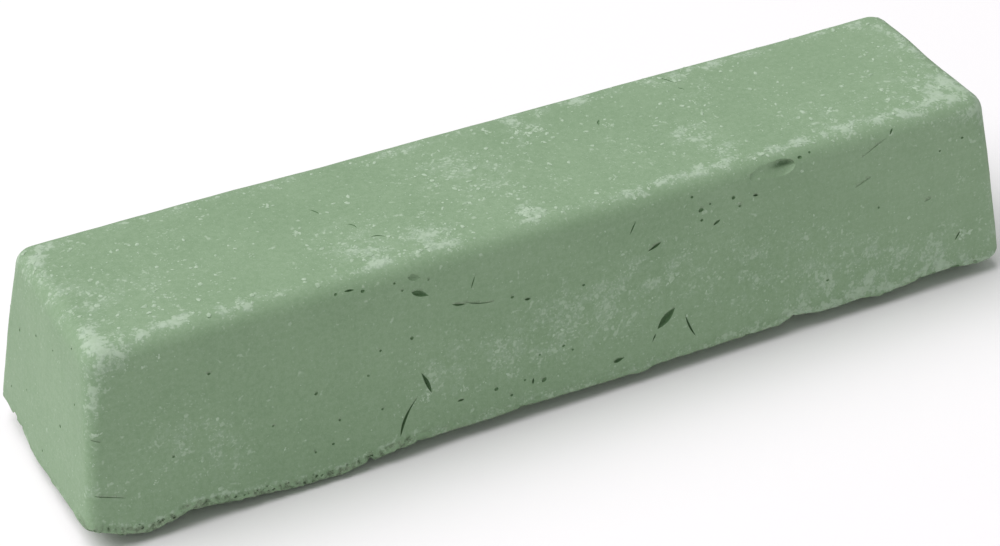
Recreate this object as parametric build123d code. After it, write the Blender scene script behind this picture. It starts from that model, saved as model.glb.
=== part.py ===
"""Honing compound bar: one drafted block of wax-bound abrasive, cast upside down in a tray mould.

Frame: millimetres, +Z up. The origin is the middle of the footprint, on the surface that the
bar stands on. +X runs along the bar, and +Z points at the smooth face that lay on the mould's
floor. The underside is the open face of the pour, which sank a little as the wax cooled.
"""
from build123d import *
import os

# The block, measured where its flat sides would meet with no rounding.
LENGTH = 127.0
WIDTH = 31.2
HEIGHT = 25.0
DRAFT = 3.1  # each side leans in by this much between the rim and the top

# Rounded edges left by the mould.
TOP_EDGE_RADIUS = 2.2
TOP_CORNER_RADIUS = 2.6
RIM_CORNER_RADIUS = 1.8
RIM_EDGE_RADIUS = 0.9

# The pour side: a flat ring that carries the bar, round a shallow sink.
LAND_WIDTH = 3.5
SINK_DEPTH = 0.6
SINK_SLOPE_WIDTH = 5.0
SINK_CORNER_RADIUS = 3.0


def drafted_block():
    """The block between its rim and its smaller top, before any edge is rounded."""
    rim = RectangleRounded(LENGTH, WIDTH, RIM_CORNER_RADIUS)
    top = RectangleRounded(LENGTH - 2 * DRAFT, WIDTH - 2 * DRAFT, TOP_CORNER_RADIUS)
    return loft([rim, Pos(0, 0, HEIGHT) * top])


def rounded(block):
    """The block with the mould's radius round its top and a small one round its rim."""
    faces = block.faces().sort_by(Axis.Z)
    block = block.fillet(TOP_EDGE_RADIUS, faces[-1].edges())
    rim_face = block.faces().sort_by(Axis.Z)[0]
    return block.fillet(RIM_EDGE_RADIUS, rim_face.edges())


def sink():
    """The shallow dish that the cooling pour leaves in the underside."""
    length = LENGTH - 2 * LAND_WIDTH
    width = WIDTH - 2 * LAND_WIDTH
    mouth = RectangleRounded(length, width, SINK_CORNER_RADIUS)
    floor = RectangleRounded(
        length - 2 * SINK_SLOPE_WIDTH, width - 2 * SINK_SLOPE_WIDTH, SINK_CORNER_RADIUS
    )
    return loft([mouth, Pos(0, 0, SINK_DEPTH) * floor])


def cast_bar():
    """The whole bar, in one solid."""
    return rounded(drafted_block()) - sink()


def main():
    os.makedirs("parts", exist_ok=True)
    export_step(cast_bar(), "parts/cast_bar.step")


main()
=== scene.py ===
import bmesh
import bpy
import math
import random
from mathutils import Matrix, Vector, noise
from mathutils.bvhtree import BVHTree


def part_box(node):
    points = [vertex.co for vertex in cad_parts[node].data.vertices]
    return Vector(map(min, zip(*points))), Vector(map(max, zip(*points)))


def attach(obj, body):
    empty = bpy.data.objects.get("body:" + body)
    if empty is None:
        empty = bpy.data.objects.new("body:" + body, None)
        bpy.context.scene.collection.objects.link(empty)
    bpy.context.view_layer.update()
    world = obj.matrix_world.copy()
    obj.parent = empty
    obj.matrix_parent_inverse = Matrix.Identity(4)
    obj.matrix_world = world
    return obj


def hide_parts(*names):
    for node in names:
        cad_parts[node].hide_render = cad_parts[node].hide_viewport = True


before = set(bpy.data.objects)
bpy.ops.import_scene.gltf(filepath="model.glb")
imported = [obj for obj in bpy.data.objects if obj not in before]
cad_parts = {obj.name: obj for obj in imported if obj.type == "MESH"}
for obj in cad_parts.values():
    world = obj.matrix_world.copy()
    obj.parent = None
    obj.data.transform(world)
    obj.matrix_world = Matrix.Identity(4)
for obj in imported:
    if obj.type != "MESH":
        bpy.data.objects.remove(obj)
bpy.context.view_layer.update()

# ---------------------------------------------------------------------------------------------
# The honing bar. Hot wax carrying green oxide is poured into a drafted tray and knocked out
# upside down when it has set, so five faces are flat and smooth, the top edges keep the tray's
# soft radius, and every side leans in towards the top.
# ---------------------------------------------------------------------------------------------
MM = 0.001  # the bar is worked in millimetres, and made metres when it is whole
box_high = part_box("cast_bar")[1] / MM
HEIGHT = box_high.z
LEAN = 0.124  # inward lean of a side for each millimetre of height
WIDEST_AT = 1.0  # height at which the bar is widest, over the rounding of its rim
foot = Vector((box_high.x + LEAN * WIDEST_AT, box_high.y + LEAN * WIDEST_AT))  # half the footprint
TOP_EDGE = 2.2  # radius of the top edges
BACK_EDGE_LESS = 0.6  # how much smaller it is at the back
CORNER_AT_TOP = 2.4  # radius of the upright corners, by the top and by the rim
CORNER_AT_RIM = 1.5
CRISP_RIM = 0.7  # radius of the rim, where it broke clean
SOFT_RIM = 1.4  # where it set with a thick, rounded lip
WORN_RIM = 1.4  # at the right front corner
CELL = 0.55  # side of a quad
RIM_BAND = 3.3  # height of the finer mesh that carries the ragged rim


def clamp(value, reach):
    """The value, held between -reach and reach."""
    return max(-reach, min(reach, value))


def ease(value, start=0.0, end=1.0):
    """Smoothly 0 to 1 as a value goes from start to end, and flat outside them."""
    share = max(0.0, min(1.0, (value - start) / (end - start)))
    return share * share * (3 - 2 * share)


def wall_inset(x, y):
    """Distance in from the nearest side, on the square footprint."""
    return min(foot.x - abs(x), foot.y - abs(y))


def rim_radius(x, y):
    """The rim is rounded by the left end, worn round at the right front corner, crisp elsewhere."""
    front = ease(y, -6, -12)
    lip = max(ease(x, -20, -28) * front, ease(x, -54, -60))
    right_front_corner = ease(x, 57, 61) * front
    return CRISP_RIM + (SOFT_RIM - CRISP_RIM) * lip + (WORN_RIM - CRISP_RIM) * right_front_corner


def top_radius(y):
    """The top edge is a little tighter at the back."""
    return TOP_EDGE - BACK_EDGE_LESS * ease(y, 0, 8)


def moulded(p):
    """Where a point of the plain square block lies in the leaned and rounded bar."""
    core = Vector((clamp(p.x, foot.x - CORNER_AT_TOP), clamp(p.y, foot.y - CORNER_AT_TOP)))
    outward = Vector((p.x, p.y)) - core
    upper = p.z > HEIGHT / 2
    radius = top_radius(p.y) if upper else rim_radius(p.x, p.y)
    depth = HEIGHT - p.z if upper else p.z
    corner = CORNER_AT_RIM + (CORNER_AT_TOP - CORNER_AT_RIM) * ease(p.z, HEIGHT / 2, HEIGHT)
    inset = wall_inset(p.x, p.y) * corner / CORNER_AT_TOP
    over_side, over_face = radius - inset, radius - depth
    if over_side > 0 and over_face > 0:
        pull = max(over_side, over_face) / math.hypot(over_side, over_face)
        inset = radius - over_side * pull
        depth = radius - over_face * pull
    z = HEIGHT - depth if upper else depth
    half = foot - Vector((LEAN * z, LEAN * z))
    middle = Vector((
        core.x * (half.x - corner) / (foot.x - CORNER_AT_TOP),
        core.y * (half.y - corner) / (foot.y - CORNER_AT_TOP),
    ))
    if outward.length > 0:
        middle += outward.normalized() * (corner - inset)
    return Vector((middle.x, middle.y, z))


def gridded_block():
    """The square block as even quads, with a finer band round the rim."""
    bm = bmesh.new()
    bmesh.ops.create_cube(bm, size=1.0)
    bmesh.ops.translate(bm, vec=(0, 0, 0.5), verts=bm.verts)
    bmesh.ops.scale(bm, vec=(2 * foot.x, 2 * foot.y, HEIGHT), verts=bm.verts)
    for axis, length in enumerate((2 * foot.x, 2 * foot.y, HEIGHT)):
        along = [
            e for e in bm.edges
            if abs(e.verts[0].co[axis] - e.verts[1].co[axis]) > 0.9 * length
        ]
        bmesh.ops.subdivide_edges(bm, edges=along, cuts=round(length / CELL), use_grid_fill=True)
    band = [
        f for f in bm.faces
        if f.calc_center_median().z < RIM_BAND
        and wall_inset(*f.calc_center_median().xy) < RIM_BAND
    ]
    edges = {e for f in band for e in f.edges}
    bmesh.ops.subdivide_edges(bm, edges=list(edges), cuts=1, use_grid_fill=True)
    return bm


block = gridded_block()
for v in block.verts:
    v.co = moulded(v.co)
block.normal_update()

# The pour side was the open face of the tray. Its skin sank and wrinkled as the wax cooled, and
# its rim broke unevenly when the bar was knocked out. The bar stands on what is left of it.

# How far the rim is above the block's flat base along the front, as (place along the bar, lift).
FRONT_RIM = [
    (-63, 2.3), (-61, 1.7), (-59.5, 0.85), (-56, 0.0), (-53.5, 0.4), (-51, 1.25), (-48.5, 1.05),
    (-44.5, 0.4), (-40, 0.0), (-36.5, -0.3), (-33, -0.3), (-31.8, -0.5), (-29.5, -0.1),
    (-28.4, 0.1), (-27.9, 0.85), (-27.2, 0.2), (-24, 0.65), (-21.5, 1.1), (-9, 1.1), (-6.5, 1.3),
    (-0.5, 1.1), (7.5, 1.0), (9.2, 0.8), (11.8, 1.3), (20, 1.25), (29.4, 1.3), (30.8, 1.75),
    (32.3, 2.0), (35, 1.4), (38.3, 1.3), (41.5, 1.5), (44.5, 1.0), (46, 1.2), (49, 1.4),
    (52.2, 1.8), (55.2, 1.8), (57, 1.6), (60, 1.0), (61.6, 1.0), (62.5, 1.45), (63.2, 2.1),
]
# The same across the left end, as (place across the bar, lift).
LEFT_RIM = [
    (-15, 1.9), (-11, 1.9), (-7, 1.5), (-5, 1.3), (-3, 0.95), (-2.6, 1.15), (0, 0.95), (2, 0.75),
    (4.2, 0.9), (5.2, 1.4), (9, 2.2), (9.5, 2.6), (15, 2.9),
]
RAGGED_LIFT = 0.75  # average lift of the rim at the back and the right end
SINK = 0.6  # depth of the sink
SINK_START, SINK_END = 2.0, 8.0  # its slope, measured in from the side
LIP_HEIGHT = 1.9  # height of the thick broken lip over the rim


def along_list(points, place):
    """The value at a place between the points of a short list."""
    for (a, low), (b, high) in zip(points, points[1:]):
        if place <= b:
            return low + (high - low) * max(0.0, (place - a) / (b - a))
    return points[-1][1]


def unevenness(p, size, run):
    """Noise from -1 to 1 round the rim, with features of a size. Each run of it is different."""
    return noise.noise(Vector((p.x / size, p.y / size, run)))


def bumps(p, size, height):
    """Smooth random bumps and hollows of a size and a height."""
    return height * noise.noise(p / size)


def bell(value, middle, width):
    """1 at the middle, and next to nothing two widths away from it."""
    return math.exp(-((value - middle) / width) ** 2)


def rim_lift(p):
    """How far the rim beside a point is above the block's flat base."""
    ragged = RAGGED_LIFT * (1 + unevenness(p, 9, 4.2)) + 0.28 * unevenness(p, 2.4, 1.7)
    front = ease(p.y, -7, -13)
    left = ease(p.x, -58, -62) * (1 - ease(p.y, -10, -14))
    lift = front * along_list(FRONT_RIM, p.x) + (1 - front) * ragged
    return left * along_list(LEFT_RIM, p.y) + (1 - left) * lift


def lip_share(p):
    """1 along the stretch of the front where the lip is thick and broken, 0 away from it."""
    return ease(p.x, -18, -23) * ease(p.y, -9, -13)


def crumble(p):
    """The pitting of the broken lip, from -1 to 1, the same however deep the pits go."""
    return noise.noise(Vector((p.x, 0.2 * p.y, p.z)) / 0.62)


def pour_side(v):
    """Moves a vertex near the underside to where the sunken, broken pour face has it."""
    p = v.co
    if p.z > RIM_BAND:
        return
    inset = wall_inset(p.x, p.y)
    under = ease(-v.normal.z * 1.4 - 0.3)
    rim = ease(p.z, RIM_BAND, 0) * ease(inset, 6, 1)
    wrinkle = noise.turbulence(p / 2.6, 3, False) * 0.35 + bumps(p, 0.8, 0.12)
    ripple = 0.13 * math.sin(1.5 * inset + bumps(p, 9, 5)) * ease(inset, 13, 4)
    sunk = ease(inset, SINK_START, SINK_END)
    lift = rim_lift(p)
    rise = rim * lift + under * (SINK * sunk + wrinkle * (0.4 + 0.6 * sunk) + ripple * sunk)
    p.x *= (foot.x - LEAN * (p.z + rise)) / (foot.x - LEAN * p.z)
    p.y *= (foot.y - LEAN * (p.z + rise)) / (foot.y - LEAN * p.z)
    p.z += rise
    over_rim = p.z - lift
    lip = lip_share(p)
    ledge = 0.28 * lip * bell(over_rim, 1.0, 0.6)
    pits = max(0.0, 0.65 * (crumble(p) + 0.05)) * ease(over_rim, LIP_HEIGHT, LIP_HEIGHT - 0.5)
    p.xy += v.normal.xy * (ledge - pits * (0.25 + 0.75 * lip))


for v in block.verts:
    waver = bumps(v.co, 19, 0.10) + bumps(v.co, 6, 0.05) + bumps(v.co, 1.6, 0.018)
    v.co += v.normal * waver
    pour_side(v)
block.normal_update()
surface = BVHTree.FromBMesh(block)


# Bubbles in the pour leave round pinholes, and pockets under the skin open as thin leaf-shaped
# slits. Both show fresh compound, darkened with painted shade. The scores, the dents and the
# broken rim are older, and have rubbed to the green of the skin. One scooped nail dent lies
# along the top front edge.
def on_front(x, z):
    return Vector((x, -foot.y + LEAN * z, z))


def on_top(x, y):
    return Vector((x, y, HEIGHT))


def on_back(x, z):
    return Vector((x, foot.y - LEAN * z, z))


def on_left(y, z):
    return Vector((-foot.x + LEAN * z, y, z))


def on_right(y, z):
    return Vector((foot.x - LEAN * z, y, z))


def seat(point, turn=0.0, sunk=0.0):
    """The placing of something on the bar's skin: its Z stands out, and its X runs along the bar."""
    spot, normal, _, _ = surface.find_nearest(point)
    along = Vector((0, 1, 0)) if abs(normal.x) > 0.8 else Vector((1, 0, 0))
    along = (along - normal * along.dot(normal)).normalized()
    axes = Matrix((along, normal.cross(along), normal)).transposed().to_4x4()
    lifted = Matrix.Translation(spot - normal * sunk)
    return lifted @ axes @ Matrix.Rotation(math.radians(turn), 4, "Z")


def gas_hole(cutters, point, width, stretch=1.0, turn=0.0):
    """A round or slightly stretched bubble that broke the skin, a little flatter than a ball."""
    made = bmesh.ops.create_icosphere(cutters, subdivisions=2, radius=0.5)["verts"]
    shape = Matrix.Diagonal((width * stretch, width, width * 0.8, 1))
    bmesh.ops.transform(cutters, matrix=seat(point, turn) @ shape, verts=made)


def slit(cutters, point, length, width, turn, bow=0.0, depth=0.5, swell=0.0):
    """A leaf-shaped opening: widest in the middle, or nearer one end by swell, and bowed by bow."""
    made = bmesh.ops.create_uvsphere(cutters, u_segments=10, v_segments=14, radius=1.0)["verts"]
    for v in made:
        t = v.co.z
        taper = math.sqrt(max(0.0, 1 - t * t)) * (1 + swell * t)
        v.co = Vector((
            t * length / 2, v.co.x * taper * width / 2 + bow * (1 - t * t), v.co.y * taper * depth,
        ))
    bmesh.ops.transform(cutters, matrix=seat(point, turn), verts=made)


PINHOLE_TRIM = 0.92  # how much of a pinhole's width is hole, within its soft lip
# Pinholes of the front, as (along the bar, height, width).
FRONT_HOLES = [
    (-30.2, 24.0, 0.4), (-26.9, 23.4, 0.45), (-22.9, 23.2, 0.3), (-22.0, 22.0, 0.3),
    (-18.6, 22.4, 0.22), (-21.3, 15.5, 0.5), (-25.4, 15.1, 0.35), (-27.2, 12.3, 0.3),
    (-33.9, 12.0, 0.4), (-46.6, 18.7, 0.35), (-31.3, 7.6, 0.35), (-32.4, 4.7, 0.35),
    (-34.7, 4.3, 0.3), (-39.6, 9.5, 0.3), (-25.8, 7.3, 0.3), (-10.8, 5.2, 0.55),
    (-8.8, 3.7, 0.35), (-6.9, 5.2, 0.35), (-4.3, 4.4, 0.6), (-1.4, 8.2, 0.35), (-0.2, 7.3, 0.3),
    (-4.7, 8.0, 0.3), (1.7, 15.6, 0.35), (-7.9, 16.9, 0.4), (36.4, 5.9, 0.35), (53.2, 19.4, 0.3),
    (56.6, 20.3, 0.35), (32.6, 24.2, 0.5), (34.1, 24.6, 0.35), (17.0, 23.1, 0.35),
    (19.5, 21.5, 0.3), (18.2, 21.0, 0.6), (18.3, 19.6, 0.45), (22.8, 21.4, 0.55),
    (23.7, 20.0, 0.35), (-52.0, 9.5, 0.3), (44.0, 14.0, 0.3),
]
# Slits and stretched dents of the front, as
# (along the bar, height, length, width, turn, bow, depth, swell).
FRONT_SLITS = [
    (-19.8, 20.9, 2.4, 0.78, -26, 0.05, 0.45, -0.3),
    (-14.9, 18.1, 1.9, 0.3, -14, -0.1, 0.22, -0.4),
    (-19.9, 9.0, 3.3, 0.55, -70, 0.1, 0.6, 0.2),
    (-22.4, 5.2, 5.6, 0.36, 60, 0.45, 0.5, -0.8),
    (12.9, 7.6, 3.4, 1.2, 42, 0.0, 0.8, 0.0),
    (11.1, 5.4, 1.2, 0.2, 62, 0.0, 0.3, 0.5),
    (16.3, 5.6, 3.7, 0.27, -68, -0.15, 0.5, 0.1),
    (6.1, 3.9, 1.6, 0.55, 8, 0.0, 0.4, -0.6),
    (-5.8, 4.7, 0.85, 0.3, 80, 0.0, 0.4, 0.0),
    (-15.6, 5.2, 0.9, 0.28, 0, 0.0, 0.3, 0.0),
    (-28.5, 24.0, 1.3, 0.3, -6, 0.0, 0.25, 0.0),
    (-5.9, 16.0, 0.8, 0.35, -5, 0.0, 0.3, 0.0),
    (11.6, 17.9, 2.0, 0.4, 22, 0.0, 0.35, 0.4),
    (-12.9, 20.4, 1.8, 0.16, 68, 0.0, 0.15, 0.0),
    (8.7, 21.3, 1.9, 0.2, 62, 0.0, 0.2, 0.0),
    (20.4, 18.7, 1.15, 0.36, 27, 0.0, 0.3, 0.0),
    (26.0, 20.8, 0.8, 0.3, -12, 0.0, 0.35, 0.0),
    (46.0, 24.1, 1.0, 0.25, 50, 0.0, 0.25, 0.0),
    (56.2, 6.5, 1.3, 0.25, 55, 0.0, 0.3, 0.0),
    (-61.0, 7.0, 8.0, 0.09, -20, 0.12, 0.18, 0.0),
    (-61.0, 14.4, 4.6, 0.06, -20, 0.0, 0.14, 0.0),
]
# Shallow scores of the front that have been rubbed since, told in the same way.
FRONT_SCORES = [
    (-12.2, 17.6, 4.0, 0.15, -15, -0.22, 0.16, -0.3),
    (43.6, 22.6, 5.2, 0.16, 24, 0.1, 0.09, 0.3),
    (41.7, 18.2, 2.6, 0.16, 20, 0.0, 0.08, 0.0),
    (51.5, 13.0, 1.1, 0.16, 15, 0.0, 0.1, 0.0),
]
# Shallow oval dents of the front, as (along the bar, height, width, stretch, turn).
FRONT_DENTS = [(-20.4, 23.2, 0.85, 1.9, -24)]
# Fine crescents pressed into the top, as (along the bar, across it, length, width, turn, bow).
TOP_SLITS = [
    (-26.0, 2.7, 1.9, 0.2, -66, 0.15), (-23.3, -2.1, 1.5, 0.2, -64, 0.25),
    (-21.6, -5.6, 1.9, 0.2, -24, 0.35), (13.8, 4.7, 1.4, 0.3, 60, 0.1),
    (26.4, 9.6, 2.2, 0.2, -60, 0.1), (27.0, 7.0, 1.0, 0.16, -55, 0.0),
]
# Pinholes of the left end, as (across the bar, height, width).
LEFT_HOLES = [
    (3.5, 18.1, 0.35), (8.8, 15.6, 0.35), (-7.5, 23.2, 0.3), (-5.1, 11.1, 0.45), (11.0, 6.3, 0.3),
    (0.1, 4.2, 0.3), (-9.1, 16.7, 0.3), (-2.0, 19.5, 0.25), (6.0, 9.0, 0.25),
]
# Scallops broken out of the rim of the left end, as (across the bar, height, width, depth).
LEFT_BITES = [
    (9.6, 2.5, 1.3, 0.5), (7.8, 2.0, 1.2, 0.4), (4.8, 1.3, 1.1, 0.4), (-5.5, 1.2, 1.2, 0.4),
]
# The same along the front, as (along the bar, height, width, depth).
RIM_BITES = [
    (-50.8, 1.5, 1.5, 0.4), (-24.2, 1.5, 0.9, 0.3), (-7.3, 1.2, 1.5, 0.35), (11.0, 1.1, 1.2, 0.3),
    (24.7, 1.2, 1.5, 0.35), (31.5, 1.6, 1.4, 0.4), (45.2, 1.0, 1.5, 0.4), (50.5, 1.8, 1.2, 0.4),
    (52.6, 2.0, 0.9, 0.4), (55.9, 1.7, 1.5, 0.4), (58.9, 1.5, 1.2, 0.35),
]
# The porous stretches of the rim, as (from, to, lowest, highest, how many pores).
POROUS_RIM = [(-61.5, -56.5, 0.9, 2.2, 20), (-55, -41, 0.9, 1.9, 60), (-41, -29, 0.3, 1.5, 60)]


def nail_dent(cutters):
    """The scooped dent under the top front edge: a long shallow boat, with a wedge at its right."""
    half_length, half_width = 3.3, 1.35
    made = bmesh.ops.create_uvsphere(cutters, u_segments=48, v_segments=64, radius=1.0)["verts"]
    for v in made:
        t = v.co.z
        side = v.co.x / max(0.1, math.sqrt(max(0.0, 1 - t * t)))
        wide = half_width * (0.9 + 0.15 * t)
        wedge = ease(t, -0.2, 0.8) * bell(side, 0.40, 0.36)
        deep = 0.22 + 0.6 * ease(t, -0.35, 0.85) + wedge
        v.co = Vector((t * half_length, v.co.x * wide, v.co.y * deep))
    bmesh.ops.transform(cutters, matrix=seat(on_front(28.5, 23.4), turn=2, sunk=-0.04), verts=made)


def bite(cutters, point, width, depth, draw):
    """A crumb broken away: a lumpy, faceted hollow."""
    made = bmesh.ops.create_icosphere(cutters, subdivisions=2, radius=0.5)["verts"]
    for v in made:
        v.co *= 1 + 0.55 * noise.noise(v.co * 3 + Vector((width * 9, point.z, point.x)))
    shape = Matrix.Diagonal((width, width * draw.uniform(0.5, 0.85), 2 * depth, 1))
    bmesh.ops.transform(cutters, matrix=seat(point, draw.uniform(-40, 40)) @ shape, verts=made)


def is_clear(taken, spot, reach):
    """Whether a mark keeps clear of the ones already made. If it does, it joins them."""
    margin = 1.1
    clear = all((spot - other).length > margin * (reach + room) for other, room in taken)
    if clear:
        taken.append((spot, reach))
    return clear


def fresh_shade_cutters():
    """Everything that opens on to fresh compound, its walls darkened with painted shade."""
    draw = random.Random(11)
    cutters = bmesh.new()
    taken = []
    for x, z, width in FRONT_HOLES:
        hole = PINHOLE_TRIM * width
        gas_hole(cutters, on_front(x, z), hole, draw.uniform(1, 1.35), draw.uniform(-30, 30))
    for y, z, width in LEFT_HOLES:
        gas_hole(cutters, on_left(y, z), width)
    for x, z, length, width, turn, bow, depth, swell in FRONT_SLITS:
        slit(cutters, on_front(x, z), length, width, turn, bow, depth, swell)
    for x, y, length, width, turn, bow in TOP_SLITS:
        slit(cutters, on_top(x, y), length, width, turn, bow, 0.13)
    bite(cutters, on_front(-27.9, 1.6), 0.7, 0.4, draw)
    for _ in range(9):
        spot = on_back(draw.uniform(-50, 50), draw.uniform(4, 20))
        length = draw.uniform(1, 3.5)
        if is_clear(taken, spot, length / 2):
            slit(cutters, spot, length, draw.uniform(0.15, 0.5), draw.uniform(-80, 80))
    for _ in range(32):
        spot = on_back(draw.uniform(-58, 58), draw.uniform(3, 22))
        width = draw.uniform(0.25, 0.55)
        if is_clear(taken, spot, 0.8 * width):
            gas_hole(cutters, spot, width, draw.uniform(1, 1.6), draw.uniform(-40, 40))
    for _ in range(9):
        spot = on_right(draw.uniform(-11, 11), draw.uniform(4, 22))
        width = draw.uniform(0.25, 0.5)
        if is_clear(taken, spot, width / 2):
            gas_hole(cutters, spot, width)
    for _ in range(90):
        spot = Vector((draw.uniform(-57, 57), draw.uniform(-9, 9), 0))
        width = 0.35 + 1.1 * draw.random() ** 3
        if is_clear(taken, spot, 0.7 * width):
            gas_hole(cutters, spot, width, draw.uniform(1, 1.4), draw.uniform(0, 180))
    return cutters


def rubbed_cutters():
    """What was dented or broken early, so its walls look like the rest of the skin."""
    draw = random.Random(7)
    cutters = bmesh.new()
    taken = [(on_front(x, z), width / 2) for x, z, width, _ in RIM_BITES]
    nail_dent(cutters)
    for x, z, width, stretch, turn in FRONT_DENTS:
        gas_hole(cutters, on_front(x, z), width, stretch, turn)
    for x, z, length, width, turn, bow, depth, swell in FRONT_SCORES:
        slit(cutters, on_front(x, z), length, width, turn, bow, depth, swell)
    for x, z, width, depth in RIM_BITES:
        bite(cutters, on_front(x, z), width, depth, draw)
    for y, z, width, depth in LEFT_BITES:
        bite(cutters, on_left(y, z), width, depth, draw)
    for start, end, low, high, count in POROUS_RIM:
        for _ in range(count):
            spot = on_front(draw.uniform(start, end), draw.uniform(low, high))
            width = draw.uniform(0.2, 0.5)
            if is_clear(taken, spot, 0.6 * width):
                bite(cutters, spot, width, 0.45 * width, draw)
    return cutters


def mesh_object(bm, name, scale=1.0):
    """Puts a bmesh in the scene as an object at a scale, and frees the bmesh."""
    bmesh.ops.scale(bm, vec=(scale, scale, scale), verts=bm.verts)
    mesh = bpy.data.meshes.new(name)
    bm.to_mesh(mesh)
    bm.free()
    made = bpy.data.objects.new(name, mesh)
    bpy.context.scene.collection.objects.link(made)
    return made


# The finish is chromium green in wax, dull and faintly mottled. Where the bar has been handled the
# wax has bloomed: a pale haze and white flecks, thickest along the top edges and corners.
GREEN = (0.270, 0.394, 0.243)
DEEP_GREEN = (0.218, 0.335, 0.195)  # of the darker mottling and the rub marks
RIGHT_END_LIGHT_GREEN = (0.345, 0.48, 0.31)  # painted light: the right end lighter, with a painted highlight round its front corner
# The haze colour also carries the painted light along the rim.
HAZE_AND_RIM_LIGHT = (0.385, 0.495, 0.38)
FLECK = (0.50, 0.625, 0.48)
SCUM = (0.30, 0.37, 0.262)  # on the pour skin
PIT_SHADE_GREEN = (0.150, 0.205, 0.128)  # painted shade in the pits in it
FRESH_AND_SHADE_GREEN = (0.118, 0.22, 0.103)  # of the walls of holes and slits, with painted shade of the hollows
# the lighter tone of the same walls, also with painted shade
PORE_AND_SHADE_GREEN = (0.165, 0.275, 0.143)


class Finish:
    """A material under construction: each method adds a step and gives back its output."""

    def __init__(self, name):
        self.material = bpy.data.materials.new(name)
        self.material.use_nodes = True
        self.tree = self.material.node_tree
        self.shader = self.tree.nodes["Principled BSDF"]

    def node(self, kind, output, inputs, **settings):
        """A new node, its inputs joined to outputs or set to values. Gives back one output."""
        made = self.tree.nodes.new("ShaderNode" + kind)
        for name, value in settings.items():
            setattr(made, name, value)
        for key, value in inputs.items():
            if isinstance(value, bpy.types.NodeSocket):
                self.tree.links.new(value, made.inputs[key])
            else:
                made.inputs[key].default_value = value
        return made.outputs[output]

    def place(self, stretch=(1, 1, 1)):
        """Object coordinates in millimetres, drawn out by stretch."""
        coords = self.node("TexCoord", "Object", {})
        scale = [1 / (MM * s) for s in stretch]
        return self.node("Mapping", "Vector", {"Vector": coords, "Scale": scale})

    def maths(self, operation, first, second=0.0, third=0.0):
        """A sum, product or other operation on two or three numbers."""
        return self.node("Math", 0, {0: first, 1: second, 2: third}, operation=operation)

    def cloud(self, place, size, detail=2.0):
        """Soft noise from 0 to 1, with features of a size in millimetres."""
        return self.node("TexNoise", "Fac", {"Vector": place, "Scale": 1 / size, "Detail": detail})

    def ramp(self, value, start, end, low=0.0, high=1.0):
        """Smoothly low to high as value goes from start to end."""
        inputs = {"Value": value, "From Min": start, "From Max": end, "To Min": low, "To Max": high}
        return self.node("MapRange", "Result", inputs, interpolation_type="SMOOTHSTEP")

    def painted(self, name):
        """A value stored for each vertex of the piece."""
        return self.node("Attribute", "Fac", {}, attribute_name=name)

    def blend(self, share, under, over):
        """Two colours mixed, more of the second as share rises."""
        under, over = ((*c, 1) if isinstance(c, tuple) else c for c in (under, over))
        inputs = {"Factor": share, 6: under, 7: over}
        return self.node("Mix", 2, inputs, data_type="RGBA")

    def specks(self, place, size, density):
        """Irregular specks of a size, from a few to a crust as density goes from 0 to 1."""
        grains = self.cloud(place, size, 1.5)
        return self.ramp(self.maths("MULTIPLY_ADD", density, 0.2, grains), 0.67, 0.80)

    def dull(self, colour, roughness, height, depth):
        """The finished material: dull wax, with a fine relief of a depth in millimetres."""
        self.tree.links.new(colour, self.shader.inputs["Base Color"])
        self.tree.links.new(roughness, self.shader.inputs["Roughness"])
        relief = self.node("Bump", "Normal", {"Height": height, "Distance": depth * MM})
        self.tree.links.new(relief, self.shader.inputs["Normal"])
        self.shader.inputs["Specular IOR Level"].default_value = 0.34
        return self.material


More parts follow.
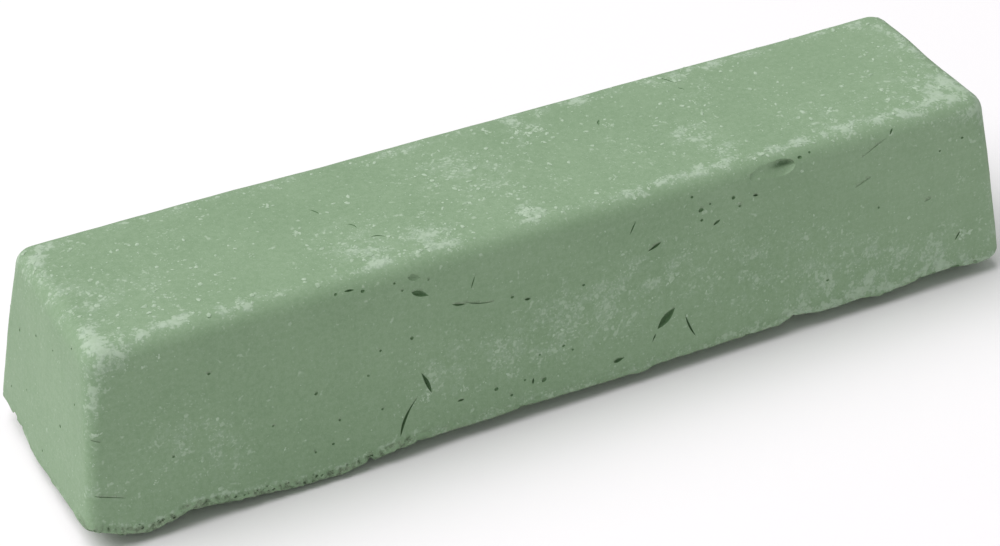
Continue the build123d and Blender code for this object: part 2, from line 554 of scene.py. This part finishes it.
def compound_finish():
    """The skin of the bar, rubbed and bloomed, and the rough scummed skin of its pour side."""
    wax = Finish("green_compound")
    here = wax.place()
    bloom_and_rim_light, raw, upward = wax.painted("bloom_and_rim_light"), wax.painted("raw_skin"), wax.painted("upward")
    clouds = wax.cloud(here, 12, 3)
    mottle = wax.cloud(here, 2.2, 4)
    fine = wax.cloud(here, 0.55, 3)
    grain = wax.cloud(here, 0.2, 2)
    # Mottled green, with streaks along the bar and up its sides from the mould.
    drawn = wax.cloud(wax.place((30, 30, 0.45)), 1.0, 3)
    upright = wax.cloud(wax.place((0.8, 0.8, 30)), 1.0, 2)
    tone = wax.maths("ADD", wax.ramp(clouds, 0.3, 0.7, 0, 0.4), wax.ramp(fine, 0.3, 0.7, 0, 0.6))
    colour = wax.blend(tone, DEEP_GREEN, GREEN)
    # Painted light: lighter towards the right end, with a painted highlight round its front corner.
    colour = wax.blend(wax.painted("painted_right_light"), colour, RIGHT_END_LIGHT_GREEN)
    colour = wax.blend(wax.ramp(grain, 0.4, 0.75, 0, 0.2), colour, HAZE_AND_RIM_LIGHT)
    along, up = wax.ramp(drawn, 0.4, 0.75, 0, 0.22), wax.ramp(upright, 0.4, 0.7, 0, 0.18)
    colour = wax.blend(wax.maths("ADD", along, up), colour, DEEP_GREEN)
    # Haze in patches, broken up into wisps. Along the rim it is painted light.
    patchy = wax.maths("MULTIPLY", bloom_and_rim_light, wax.ramp(mottle, 0.36, 0.64, 0.3, 1.5))
    wisps = wax.ramp(wax.cloud(here, 0.7, 5), 0.38, 0.64, 0.2, 1.0)
    haze = wax.maths("MULTIPLY", wax.ramp(patchy, 0.1, 1.3, 0, 0.75), wisps)
    colour = wax.blend(haze, colour, HAZE_AND_RIM_LIGHT)
    # Scum, and painted shade in its pits, only on the pour skin.
    scummed = wax.ramp(wax.cloud(here, 3.0, 4), 0.42, 0.62, 0.0, 0.7)
    colour = wax.blend(wax.maths("MULTIPLY", raw, scummed), colour, SCUM)
    pitted = wax.ramp(wax.cloud(here, 0.24, 3), 0.58, 0.42, 0.1, 0.85)
    pits = wax.maths("MULTIPLY", raw, pitted)
    colour = wax.blend(pits, colour, PIT_SHADE_GREEN)
    # Two sizes of fleck, thicker in the bloom and stronger on what faces up.
    strength = wax.ramp(upward, 0.0, 1.0, 0.85, 1.0)
    small = wax.specks(here, 0.32, patchy)
    small = wax.maths("MULTIPLY", small, wax.maths("MULTIPLY", strength, 0.42))
    large = wax.specks(here, 0.75, wax.maths("MULTIPLY", patchy, 0.9))
    large = wax.maths("MULTIPLY", large, wax.maths("MULTIPLY", strength, 0.5))
    spots = wax.maths("MAXIMUM", small, large)
    colour = wax.blend(spots, colour, FLECK)
    # The bloom is less glossy. Flecks stand up a little, and pits go in.
    roughness = wax.ramp(wax.maths("ADD", bloom_and_rim_light, mottle), 0.3, 1.3, 0.55, 0.82)
    raised = wax.maths("ADD", wax.maths("MULTIPLY", grain, 0.35), wax.maths("MULTIPLY", spots, 0.5))
    sunken = wax.maths("SUBTRACT", raised, wax.maths("MULTIPLY", pits, 0.8))
    rough_skin = wax.maths("MULTIPLY", wax.maths("MULTIPLY", fine, raw), 1.5)
    return wax.dull(colour, roughness, wax.maths("ADD", sunken, rough_skin), 0.06)


def fresh_and_shade_finish():
    """The walls of holes and slits: fresh compound that nothing has rubbed or bloomed, darkened with
    painted shade.
    """
    wax = Finish("fresh_compound_painted_shade")
    here = wax.place()
    tone = wax.ramp(wax.cloud(here, 0.35, 3), 0.35, 0.7)
    roughness = wax.ramp(wax.cloud(here, 1.0), 0.3, 0.7, 0.6, 0.75)
    colour = wax.blend(tone, FRESH_AND_SHADE_GREEN, PORE_AND_SHADE_GREEN)
    return wax.dull(colour, roughness, wax.cloud(here, 0.2), 0.08)


# Where the wax has bloomed, as (place in millimetres, reach, strength).
BLOOM_PATCHES = [
    ((-59.5, -12.5, 24.2), 2.6, 0.9), ((-60.4, -13.6, 21.8), 1.8, 0.7),
    ((-56.5, -12.2, 24.8), 2.2, 0.6), ((-59.5, 10.5, 25), 4.0, 0.5), ((-60, 5, 24.5), 3.5, 0.4),
    ((-58, -2, 25), 5.0, 0.35), ((-50, -4, 25), 7.0, 0.25), ((-44, 4, 25), 8.0, 0.16),
    ((-24.4, -8.2, 25), 3.0, 0.42), ((-25, -4, 25), 5.5, 0.42), ((-16.0, -7.6, 25), 3.3, 0.7),
    ((-3.5, -9.1, 25), 1.35, 3.2), ((-9, 4, 25), 6.5, 0.33), ((-4, -1, 25), 7.0, 0.3),
    ((4.5, 6.5, 25), 3.0, 0.5), ((5, 10.8, 25), 2.0, 0.6), ((13.8, 10.8, 25), 1.5, 0.8),
    ((12, -2, 25), 8.0, 0.22), ((22.3, -2.2, 25), 2.6, 0.8), ((24.5, -7, 25), 3.0, 0.55),
    ((27, 4, 25), 2.5, 0.4), ((38, -7, 25), 5.0, 0.3), ((50, -6, 25), 8.0, 0.3),
    ((57.5, -8.5, 25), 4.5, 0.9), ((57, 4, 25), 5.0, 0.3), ((-51, -14, 11.5), 5.5, 0.42),
    ((-45, -14.5, 8), 4.5, 0.38), ((-61, -14.8, 6), 4.0, 0.35), ((-18, -14.5, 10), 5.5, 0.46),
    ((-8, -14.5, 9.5), 6.0, 0.46), ((2, -14.2, 12), 7.0, 0.5), ((12, -14, 13), 6.0, 0.48),
    ((24, -14.3, 11), 8.0, 0.42), ((36, -14.5, 7), 8.0, 0.4), ((34, -15.3, 2.5), 3.5, 0.45),
    ((44, -15.0, 4.6), 4.8, 0.85), ((54, -15.1, 3.8), 4.6, 0.8), ((62, -15, 2.5), 2.5, 0.6),
    ((57, -13.5, 13), 5.0, 0.25), ((30, 13, 22), 9.0, 0.4), ((-35, 14, 12), 10.0, 0.35),
    ((5, 14, 6), 8.0, 0.35), ((60, 11, 23), 4.0, 0.8), ((61, 0, 12), 7.0, 0.35),
    ((60.5, -10, 22), 4.0, 0.6),
]
# How thickly it lies along the top front edge, as (place along the bar, strength).
FRONT_EDGE_BLOOM = [
    (-61, 0.8), (-56, 0.9), (-52, 0.5), (-48, 1.0), (-45.5, 0.3), (-41, 1.0), (-38, 0.3),
    (-30, 0.25), (-26, 0.35), (-20, 0.5), (-15, 0.5), (-12, 0.2), (-6, 0.15), (-1, 0.1), (2, 0.3),
    (6, 0.4), (11, 0.9), (15, 0.4), (20, 0.9), (27, 0.9), (30, 0.5), (36, 0.9), (46, 1.0),
    (58, 1.1), (61, 1.0),
]
MOST_BLOOM = 1.3  # a full crust


def bloom_and_rim_light_at(p):
    """How much wax has bloomed at a place on the bar, with painted light along the rim: 0 for none,
    1 for a lot.
    """
    total = sum(
        strength * bell((p - Vector(middle)).length, 0, reach)
        for middle, reach, strength in BLOOM_PATCHES
    )
    if p.z > HEIGHT - TOP_EDGE:
        on_front_edge = ease(p.y, -6, -7)
        along = 1.35 * on_front_edge * along_list(FRONT_EDGE_BLOOM, p.x)
        along += (1 - on_front_edge) * (0.35 + bumps(p, 6, 0.5))
        inset = wall_inset(p.x, p.y) - LEAN * p.z
        total += along * bell(inset + bumps(p, 1.1, 0.6), 2.0, 0.85)
    if p.z < RIM_BAND:
        over_rim = p.z - rim_lift(p)
        # Painted highlight along the crest of the broken lip.
        total += 0.8 * lip_share(p) * bell(over_rim, LIP_HEIGHT, 0.35)
        # Painted light along the rest of the rim, lightening the shade where the bar meets the
        # floor.
        total += 0.5 * (1 - lip_share(p)) * bell(over_rim, 0.9, 0.8)
    off_corner = math.hypot(foot.x - abs(p.x) - LEAN * p.z, foot.y - abs(p.y) - LEAN * p.z)
    total += 0.45 * bell(off_corner, 0.8, 0.9) * (0.7 + bumps(p, 4, 1))
    return min(MOST_BLOOM, max(0.0, total))


def painted_right_light_at(p):
    """Painted light, paler towards the right end and most of all round the front corner there."""
    off_corner = math.hypot(foot.x - p.x - LEAN * p.z, foot.y + p.y - LEAN * p.z)
    # Painted highlight round the right front corner.
    right_front_corner = 0.34 * bell(off_corner, 0.7, 0.8)
    return right_front_corner + 0.27 * ease(p.x, 10, 65) * (0.45 + 0.55 * ease(p.y, -11, -12))


def raw_at(p, normal):
    """How much of the rough pour skin shows, with painted shade in its pits: all of it underneath,
    and the pits of the rim.
    """
    under = ease(-normal.z * 1.6 - 0.2)
    if p.z > RIM_BAND:
        return under
    over_rim = p.z - rim_lift(p)
    lip = ease(over_rim, LIP_HEIGHT, LIP_HEIGHT - 0.6) * ease(crumble(p), -0.25, 0.25)
    return max(under, lip * (0.2 + 0.8 * lip_share(p)))


def paint(name, values):
    """Stores a value for each vertex of the bar, for its materials to read."""
    layer = bar.data.attributes.new(name, "FLOAT", "POINT")
    layer.data.foreach_set("value", values)


# The second slot is fresh compound with painted shade, for the walls of holes and slits.
RUBBED, FRESH_PAINTED_SHADE = 0, 1  # the bar's material slots
slots = [compound_finish(), fresh_and_shade_finish()]
bar = mesh_object(block, "honing_bar")
for material in slots:
    bar.data.materials.append(material)
bpy.context.view_layer.objects.active = bar


def carve(cutters, slot):
    """Cuts a set of shapes out of the bar. The walls that they leave take a material slot."""
    knife = mesh_object(cutters, "knife")
    for material in slots:
        knife.data.materials.append(material)
    knife.data.polygons.foreach_set("material_index", [slot] * len(knife.data.polygons))
    cut = bar.modifiers.new("cut", "BOOLEAN")
    cut.operation = "DIFFERENCE"
    cut.solver = "MANIFOLD"
    cut.object = knife
    bpy.ops.object.modifier_apply(modifier="cut")
    bpy.data.objects.remove(knife)


carve(rubbed_cutters(), RUBBED)
# Holes and slits, whose walls take fresh compound with painted shade.
carve(fresh_shade_cutters(), FRESH_PAINTED_SHADE)
bar.data.transform(Matrix.Diagonal((MM, MM, MM, 1)))
bar.data.polygons.foreach_set("use_smooth", [True] * len(bar.data.polygons))
bar.data.set_sharp_from_angle(angle=math.radians(50))
places = [(v.co / MM, v.normal.copy()) for v in bar.data.vertices]
paint("bloom_and_rim_light", [bloom_and_rim_light_at(p) for p, _ in places])
paint("raw_skin", [raw_at(p, normal) for p, normal in places])
paint("painted_right_light", [painted_right_light_at(p) for p, _ in places])
paint("upward", [ease(normal.z * 1.4) for _, normal in places])
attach(bar, "root")
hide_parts("cast_bar")

# ---------------------------------------------------------------------------------------------
# Crumbs of wax. Grains of the same compound, rubbed off the edges in the packet, have stuck to
# the faces, thickest where the wax has bloomed. Each is flat and pale, and half sunk into the skin.
# ---------------------------------------------------------------------------------------------
# The largest clumps on the top, as (along the bar, across it, size).
TOP_CLUMPS = [
    (-48.4, -2.5, 0.9), (-48.0, -5.6, 0.8), (-49.8, -7.0, 0.8), (-45.7, 1.6, 0.6),
    (-36.2, -2.2, 0.8), (-30.3, 6.6, 1.0), (-29.8, -0.6, 1.3), (-25.0, -1.6, 0.6),
    (-24.8, -6.2, 0.7), (-26.2, -7.6, 0.5), (-28.8, -8.8, 0.8), (-27.7, 9.5, 0.9),
    (0.6, 9.2, 1.0), (6.1, 7.0, 1.3), (3.6, 7.5, 0.9), (3.7, 4.5, 0.9), (-3.2, -4.7, 1.0),
    (14.3, 3.6, 0.9), (14.7, -3.8, 0.7), (26.6, 3.6, 0.8), (1.2, -0.8, 0.6), (2.8, -3.4, 0.7),
    (9.6, -6.9, 0.8), (4.3, -10.4, 0.8), (-14.3, 4.0, 0.7), (-14.5, -3.5, 0.8), (-4.1, -8.8, 1.6),
    (-2.7, -9.2, 1.6), (-3.4, -9.8, 1.5), (-3.5, -8.7, 1.5), (-2.4, -9.9, 1.2), (30.7, -6.0, 0.6),
    (38.9, -2.2, 0.5), (22.0, -1.5, 1.2), (23.9, -7.7, 0.9),
]
# The largest clumps on the front, as (along the bar, height, size).
FRONT_CLUMPS = [
    (14.0, 12.9, 1.4), (27.5, 5.8, 0.6), (26.1, 8.0, 0.5), (32.6, 11.7, 0.5), (-47.0, 7.9, 0.5),
    (-60.6, 15.4, 1.0), (-54.3, 7.1, 0.8), (-14.9, 6.5, 1.0), (-12.3, 6.9, 0.6),
    (-20.0, 6.9, 1.0), (57.2, 6.6, 1.4), (-7.4, 10.9, 0.5), (-10.1, 9.0, 0.5), (-56.0, 22.4, 0.6),
    (-53.9, 22.0, 0.8), (-52.2, 22.6, 0.9), (-36.4, 7.9, 0.5), (-38.6, 6.0, 0.6),
    (56.4, 14.5, 0.6), (60.0, 13.0, 0.5), (-1.3, 7.6, 0.5), (-61.6, 11.5, 0.6), (46.4, 4.4, 0.7),
    (51.0, 5.0, 0.5),
]
# How each face is strewn, as (face, half its length, from, to, tries, share kept in full bloom,
# largest size). A few are kept where there is no bloom.
STREWN = [
    (on_top, 60, -12, 12, 3200, 1.4, 0.8),
    (on_front, 61, 3, 24, 2200, 0.22, 0.7),
    (on_back, 61, 3, 24, 1800, 0.6, 0.7),
    (on_left, 13, 3, 24, 300, 0.2, 0.5),
    (on_right, 13, 3, 24, 300, 0.5, 0.6),
]
KEPT_ANYWHERE = 0.02
SMALLEST = 0.22
CRUMB_GREEN = (0.33, 0.455, 0.31)


def crumb(grains, point, size, draw):
    """One flat, angular grain, half sunk into the skin."""
    made = bmesh.ops.create_icosphere(grains, subdivisions=1, radius=0.5)["verts"]
    for v in made:
        v.co *= draw.uniform(0.65, 1.25)
    length = size * draw.uniform(0.8, 1.4)
    width = size * draw.uniform(0.6, 1.0)
    shape = Matrix.Diagonal((length, width, size * 0.2, 1))
    bmesh.ops.transform(grains, matrix=seat(point, draw.uniform(0, 180)) @ shape, verts=made)


def clump(grains, point, size, draw):
    """A few grains smeared together."""
    for _ in range(round(9 * size)):
        astray = Vector((draw.gauss(0, 1), draw.gauss(0, 1), draw.gauss(0, 1))) * size * 0.3
        crumb(grains, point + astray, size * draw.uniform(0.2, 0.5), draw)


def all_crumbs():
    """The clumps at their own places, and single grains strewn over every face but the underside."""
    draw = random.Random(23)
    grains = bmesh.new()
    for x, y, size in TOP_CLUMPS:
        clump(grains, on_top(x, y), size, draw)
    for x, z, size in FRONT_CLUMPS:
        clump(grains, on_front(x, z), size, draw)
    for face, reach, low, high, tries, share, largest in STREWN:
        for _ in range(tries):
            point = face(draw.uniform(-reach, reach), draw.uniform(low, high))
            size = SMALLEST + (largest - SMALLEST) * draw.random() ** 3
            if draw.random() < KEPT_ANYWHERE + share * bloom_and_rim_light_at(point):
                crumb(grains, point, size, draw)
    return grains


def crumb_finish():
    wax = Finish("wax_crumbs")
    here = wax.place()
    tone = wax.ramp(wax.cloud(here, 0.9, 2), 0.35, 0.65, 0, 0.65)
    roughness = wax.ramp(wax.cloud(here, 0.5), 0.3, 0.7, 0.7, 0.9)
    return wax.dull(wax.blend(tone, CRUMB_GREEN, FLECK), roughness, wax.cloud(here, 0.1), 0.03)


crumbs = mesh_object(all_crumbs(), "wax_crumbs", MM)
crumbs.data.materials.append(crumb_finish())
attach(crumbs, "root")

# ---------------------------------------------------------------------------------------------
# Floor, light and camera. A sheet of white paper lies under the bar. One large softbox hangs over
# it, a little to the left and behind, in an even pale surround.
# ---------------------------------------------------------------------------------------------
def studio_floor():
    """The paper, at the height of the bar's lowest point."""
    bm = bmesh.new()
    bmesh.ops.create_grid(bm, x_segments=2, y_segments=2, size=3.0)
    floor = mesh_object(bm, "studio_floor")
    lowest = min(v.co.z for v in bar.data.vertices)
    floor.data.transform(Matrix.Translation((0, 0, lowest)))
    paper = bpy.data.materials.new("studio_paper")
    paper.use_nodes = True
    shader = paper.node_tree.nodes["Principled BSDF"]
    shader.inputs["Base Color"].default_value = (0.95, 0.95, 0.95, 1)
    shader.inputs["Roughness"].default_value = 0.9
    shader.inputs["Specular IOR Level"].default_value = 0.1
    floor.data.materials.append(paper)


studio_floor()

world = bpy.data.worlds.new("studio")
bpy.context.scene.world = world
world.use_nodes = True
world.node_tree.nodes["Background"].inputs["Color"].default_value = (0.955, 1, 0.958, 1)
world.node_tree.nodes["Background"].inputs["Strength"].default_value = 0.32


def key_softbox():
    """The square softbox, facing the bar from over it."""
    lamp = bpy.data.lights.new("key_softbox", "AREA")
    lamp.color = (1.0, 0.95, 0.996)
    lamp.shape = "SQUARE"
    lamp.size = 2.4
    lamp.energy = 65.8
    holder = bpy.data.objects.new("key_softbox", lamp)
    bpy.context.scene.collection.objects.link(holder)
    away = Vector((-0.42, 0.17, 0.89)).normalized()
    holder.location = away * 2.4
    holder.rotation_euler = away.to_track_quat("Z", "Y").to_euler()


key_softbox()

# The camera is a short telephoto that looks down at the bar's left front corner.
AZIMUTH, ELEVATION = math.radians(-27.421), math.radians(34.833)
DISTANCE = 0.35728  # from the middle of the bar
ASIDE, ABOVE = 0.002258, 0.002459  # how far the bar's middle is off the middle of the picture
back = Vector((
    math.sin(AZIMUTH) * math.cos(ELEVATION),
    -math.cos(AZIMUTH) * math.cos(ELEVATION),
    math.sin(ELEVATION),
))
camera = bpy.data.objects.new("camera", bpy.data.cameras.new("camera"))
bpy.context.scene.collection.objects.link(camera)
camera.data.lens = 103.69
camera.data.sensor_width = 36
camera.rotation_mode = "QUATERNION"
camera.rotation_quaternion = back.to_track_quat("Z", "Y")
right = camera.rotation_quaternion @ Vector((1, 0, 0))
up = camera.rotation_quaternion @ Vector((0, 1, 0))
camera.location = Vector((0, 0, HEIGHT / 2 * MM)) + back * DISTANCE - right * ASIDE - up * ABOVE
bpy.context.scene.camera = camera
bpy.context.scene.view_settings.view_transform = "Standard"
